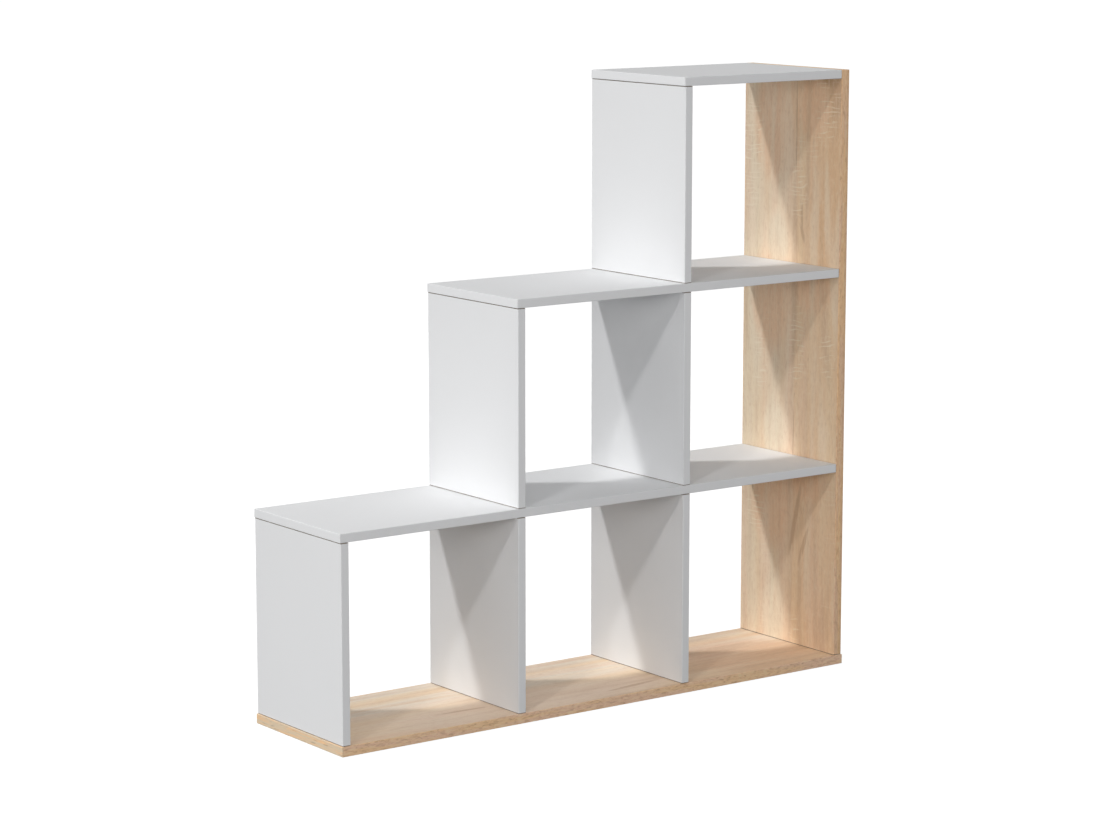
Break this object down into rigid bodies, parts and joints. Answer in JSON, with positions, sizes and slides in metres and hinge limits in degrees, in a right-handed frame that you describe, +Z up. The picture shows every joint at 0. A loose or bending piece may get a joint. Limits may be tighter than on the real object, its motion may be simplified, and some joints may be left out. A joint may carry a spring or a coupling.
{
  "type": "staircase bookshelf",
  "caption": "Open-backed staircase bookshelf and room divider whose rows of square cells get shorter upwards, white with an oak base and side.",
  "frame": {"origin": "centre of the base panel's underside, on the floor", "axes": "+Z up, +X towards the tall side with the oak panel, the front at -Y"},
  "size_m": [1.135, 0.283, 1.134],
  "materials": {
    "white_laminate": "matt white melamine on chipboard with matching edge bands",
    "oak_laminate": "light sawn-oak melamine on chipboard, grain along the board",
    "zinc_plated_steel": "bright zinc plate",
    "die_cast_zinc": "as cast, dull grey",
    "beech": "raw fluted beech"
  },
  "bodies": {
    "root": {"base_panel": "oak_laminate", "side_panel": "oak_laminate", "shelf_1": "white_laminate", "shelf_2": "white_laminate", "shelf_3": "white_laminate", "upright_row1_col1": "white_laminate", "upright_row1_col2": "white_laminate", "upright_row1_col3": "white_laminate", "upright_row2_col2": "white_laminate", "upright_row2_col3": "white_laminate", "upright_row3_col3": "white_laminate", "base_screw_col1_front": "zinc_plated_steel", "base_screw_col1_back": "zinc_plated_steel", "base_screw_col2_front": "zinc_plated_steel", "base_screw_col2_back": "zinc_plated_steel", "base_screw_col3_front": "zinc_plated_steel", "base_screw_col3_back": "zinc_plated_steel", "base_screw_side_front": "zinc_plated_steel", "base_screw_side_back": "zinc_plated_steel", "shelf_screw_row1_col2_front": "zinc_plated_steel", "shelf_screw_row1_col2_back": "zinc_plated_steel", "shelf_screw_row1_col3_front": "zinc_plated_steel", "shelf_screw_row1_col3_back": "zinc_plated_steel", "shelf_screw_row2_col3_front": "zinc_plated_steel", "shelf_screw_row2_col3_back": "zinc_plated_steel", "top_bolt_row1_front": "zinc_plated_steel", "top_bolt_row1_back": "zinc_plated_steel", "top_bolt_row2_front": "zinc_plated_steel", "top_bolt_row2_back": "zinc_plated_steel", "top_bolt_row3_front": "zinc_plated_steel", "top_bolt_row3_back": "zinc_plated_steel", "side_bolt_shelf1_front": "zinc_plated_steel", "side_bolt_shelf1_back": "zinc_plated_steel", "side_bolt_shelf2_front": "zinc_plated_steel", "side_bolt_shelf2_back": "zinc_plated_steel", "side_bolt_shelf3_front": "zinc_plated_steel", "side_bolt_shelf3_back": "zinc_plated_steel", "top_cam_row1_front": "die_cast_zinc", "top_cam_row1_back": "die_cast_zinc", "top_cam_row2_front": "die_cast_zinc", "top_cam_row2_back": "die_cast_zinc", "top_cam_row3_front": "die_cast_zinc", "top_cam_row3_back": "die_cast_zinc", "side_cam_shelf1_front": "die_cast_zinc", "side_cam_shelf1_back": "die_cast_zinc", "side_cam_shelf2_front": "die_cast_zinc", "side_cam_shelf2_back": "die_cast_zinc", "side_cam_shelf3_front": "die_cast_zinc", "side_cam_shelf3_back": "die_cast_zinc", "foot_dowel_row2_col2_front": "beech", "foot_dowel_row2_col2_back": "beech", "foot_dowel_row2_col3_front": "beech", "foot_dowel_row2_col3_back": "beech", "foot_dowel_row3_col3_front": "beech", "foot_dowel_row3_col3_back": "beech", "side_dowel_shelf1": "beech", "side_dowel_shelf2": "beech", "side_dowel_shelf3": "beech"}
  },
  "joints": []
}
